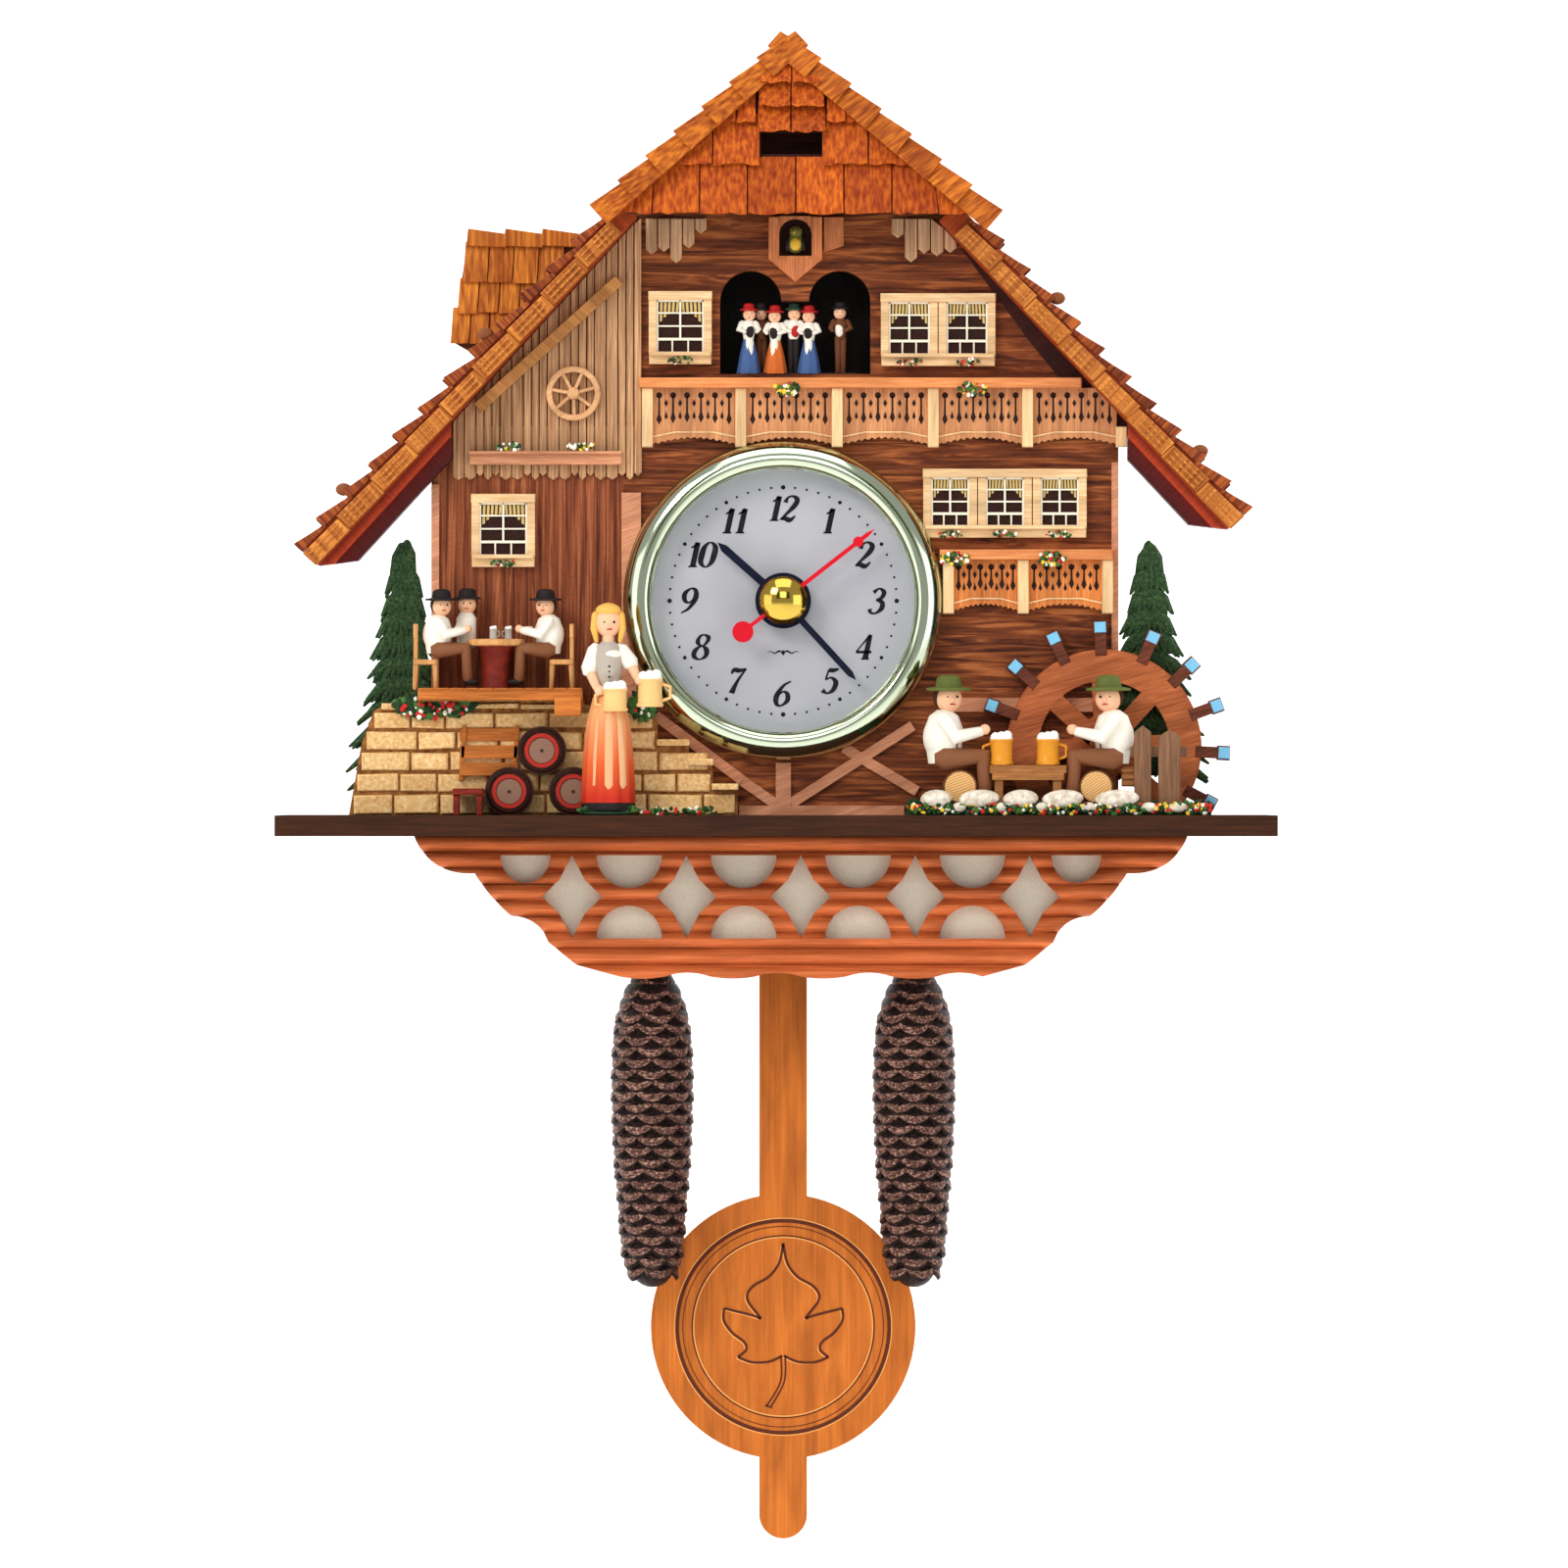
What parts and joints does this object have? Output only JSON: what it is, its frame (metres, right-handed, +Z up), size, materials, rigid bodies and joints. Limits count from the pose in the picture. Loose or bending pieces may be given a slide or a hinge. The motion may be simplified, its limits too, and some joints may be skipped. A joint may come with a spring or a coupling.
{
  "type": "cuckoo clock",
  "caption": "Wall clock shaped as a timber chalet with a round quartz dial, relief figures, hanging pine cones and a swinging wooden pendulum.",
  "frame": {"origin": "centre of the hanger plate's keyhole at the wall plane", "axes": "+Z up, -Y out of the wall towards the viewer, +X to the viewer's right"},
  "size_m": [0.23, 0.06, 0.3518],
  "materials": {
    "facade_board": "stained, horizontal grain",
    "gable_planks": "weathered grey-brown planks",
    "wagon_wheel": "pale",
    "hanging_boards": "pale weathered",
    "timber_frame": "salmon",
    "roof_slope_left": "dark red stain",
    "roof_slope_right": "dark red stain",
    "verge_tiles": "orange shingles",
    "hip_roof": "dark brown",
    "hip_shingles": "orange shingles",
    "annex_roof": "orange shingles",
    "window_frames": "cream paint",
    "window_panes": "dark glazing",
    "balcony_rails": "cream and orange",
    "balcony_panels": "salmon fretwork",
    "bird_house": "salmon",
    "cuckoo_bird": "olive and gold",
    "stage_box": "matt black",
    "dancers": "painted",
    "shelf": "dark brown",
    "skirt_board": "orange, reeded",
    "skirt_backing": "pale grey",
    "terrace": "sandstone blocks",
    "terrace_furniture": "brown",
    "card_players": "painted",
    "barrels": "dark, red hoops",
    "serving_maid": "painted",
    "drinkers_table": "brown",
    "drinkers": "painted",
    "flower_bed": "green with flowers",
    "fence": "grey-brown",
    "water_wheel": "orange-brown",
    "fir_trees": "dark green",
    "case_sides": "plain ply",
    "rear_cover": "fibreboard",
    "hanger_plate": "zinc plated",
    "fixings": "plated",
    "insert_cup": "pale ring",
    "bezel": "pale gold mirror",
    "lens": "clear",
    "dial": "silver white",
    "movement_case": "black moulding",
    "movement_coil": "copper winding and board",
    "cells": "sleeved",
    "drive_case": "black moulding",
    "drive_coil": "copper winding",
    "second_hand": "red",
    "hand_cap": "polished",
    "minute_hand": "dark navy",
    "hour_hand": "dark navy",
    "rotor": "magnet and pinion",
    "fifth_wheel": "acetal",
    "third_wheel": "acetal",
    "minute_wheel": "acetal",
    "motion_wheel": "acetal",
    "set_knob": "moulded",
    "pendulum_board": "orange-brown veneer",
    "pendulum_hanger": "moulded",
    "pinecone_left": "bronze paint",
    "pinecone_right": "bronze paint"
  },
  "bodies": {
    "house": {"facade_board": "facade_board", "gable_planks": "gable_planks", "wagon_wheel": "wagon_wheel", "hanging_boards": "hanging_boards", "timber_frame": "timber_frame", "roof_slope_left": "roof_slope_left", "roof_slope_right": "roof_slope_right", "verge_tiles": "verge_tiles", "hip_roof": "hip_roof", "hip_shingles": "hip_shingles", "annex_roof": "annex_roof", "window_frames": "window_frames", "window_panes": "window_panes", "balcony_rails": "balcony_rails", "balcony_panels": "balcony_panels", "bird_house": "bird_house", "cuckoo_bird": "cuckoo_bird", "stage_box": "stage_box", "dancers": "dancers", "shelf": "shelf", "skirt_board": "skirt_board", "skirt_backing": "skirt_backing", "terrace": "terrace", "terrace_furniture": "terrace_furniture", "card_players": "card_players", "barrels": "barrels", "serving_maid": "serving_maid", "drinkers_table": "drinkers_table", "drinkers": "drinkers", "flower_bed": "flower_bed", "fence": "fence", "water_wheel": "water_wheel", "fir_trees": "fir_trees", "case_sides": "case_sides", "rear_cover": "rear_cover", "hanger_plate": "hanger_plate", "fixings": "fixings", "insert_cup": "insert_cup", "bezel": "bezel", "lens": "lens", "dial": "dial", "movement_case": "movement_case", "movement_coil": "movement_coil", "cells": "cells", "drive_case": "drive_case", "drive_coil": "drive_coil"},
    "second_hand": {"second_hand": "second_hand", "hand_cap": "hand_cap"},
    "minute_hand": {"minute_hand": "minute_hand"},
    "hour_hand": {"hour_hand": "hour_hand"},
    "rotor": {"rotor": "rotor"},
    "fifth_wheel": {"fifth_wheel": "fifth_wheel"},
    "third_wheel": {"third_wheel": "third_wheel"},
    "minute_wheel": {"minute_wheel": "minute_wheel"},
    "motion_wheel": {"motion_wheel": "motion_wheel"},
    "set_knob": {"set_knob": "set_knob"},
    "pendulum": {"pendulum_board": "pendulum_board", "pendulum_hanger": "pendulum_hanger"},
    "pinecone_left": {"pinecone_left": "pinecone_left"},
    "pinecone_right": {"pinecone_right": "pinecone_right"}
  },
  "joints": [
    {"name": "second_hand_turn", "type": "hinge", "parent": "house", "child": "second_hand", "pos_m": [0, -0.042, -0.0665], "axis": [0, 1, 0], "continuous": true},
    {"name": "minute_hand_turn", "type": "hinge", "parent": "house", "child": "minute_hand", "pos_m": [0, -0.041, -0.0665], "axis": [0, 1, 0], "continuous": true},
    {"name": "hour_hand_turn", "type": "hinge", "parent": "house", "child": "hour_hand", "pos_m": [0, -0.0396, -0.0665], "axis": [0, 1, 0], "continuous": true},
    {"name": "rotor_turn", "type": "hinge", "parent": "house", "child": "rotor", "pos_m": [-0.00871, -0.019, -0.05683], "axis": [0, 1, 0], "continuous": true},
    {"name": "fifth_wheel_turn", "type": "hinge", "parent": "house", "child": "fifth_wheel", "pos_m": [-0.00779, -0.021, -0.062], "axis": [0, 1, 0], "continuous": true},
    {"name": "third_wheel_turn", "type": "hinge", "parent": "house", "child": "third_wheel", "pos_m": [0.00863, -0.025, -0.06336], "axis": [0, 1, 0], "continuous": true},
    {"name": "minute_wheel_turn", "type": "hinge", "parent": "house", "child": "minute_wheel", "pos_m": [0, -0.0258, -0.0665], "axis": [0, 1, 0], "continuous": true},
    {"name": "motion_wheel_turn", "type": "hinge", "parent": "house", "child": "motion_wheel", "pos_m": [0.00375, -0.028, -0.06001], "axis": [0, 1, 0], "continuous": true},
    {"name": "set_knob_turn", "type": "hinge", "parent": "house", "child": "set_knob", "pos_m": [0.0075, -0.015, -0.05351], "axis": [0, 1, 0], "continuous": true},
    {"name": "pendulum_swing", "type": "hinge", "parent": "house", "child": "pendulum", "pos_m": [0, -0.01, -0.1255], "axis": [0, 1, 0], "range_deg": [-7, 7]},
    {"name": "pinecone_left_swing", "type": "hinge", "parent": "house", "child": "pinecone_left", "pos_m": [-0.0305, -0.02, -0.146], "axis": [0, 1, 0], "range_deg": [-8, 8]},
    {"name": "pinecone_right_swing", "type": "hinge", "parent": "house", "child": "pinecone_right", "pos_m": [0.0305, -0.02, -0.146], "axis": [0, 1, 0], "range_deg": [-8, 8]}
  ],
  "couplings": [
    {"joint": "fifth_wheel_turn", "follows": "second_hand_turn", "ratio": -5},
    {"joint": "rotor_turn", "follows": "second_hand_turn", "ratio": 30},
    {"joint": "third_wheel_turn", "follows": "second_hand_turn", "ratio": -0.13333},
    {"joint": "minute_wheel_turn", "follows": "second_hand_turn", "ratio": 0.016667},
    {"joint": "motion_wheel_turn", "follows": "minute_hand_turn", "ratio": -0.33333},
    {"joint": "hour_hand_turn", "follows": "minute_hand_turn", "ratio": 0.083333},
    {"joint": "set_knob_turn", "follows": "minute_hand_turn", "ratio": 1}
  ]
}
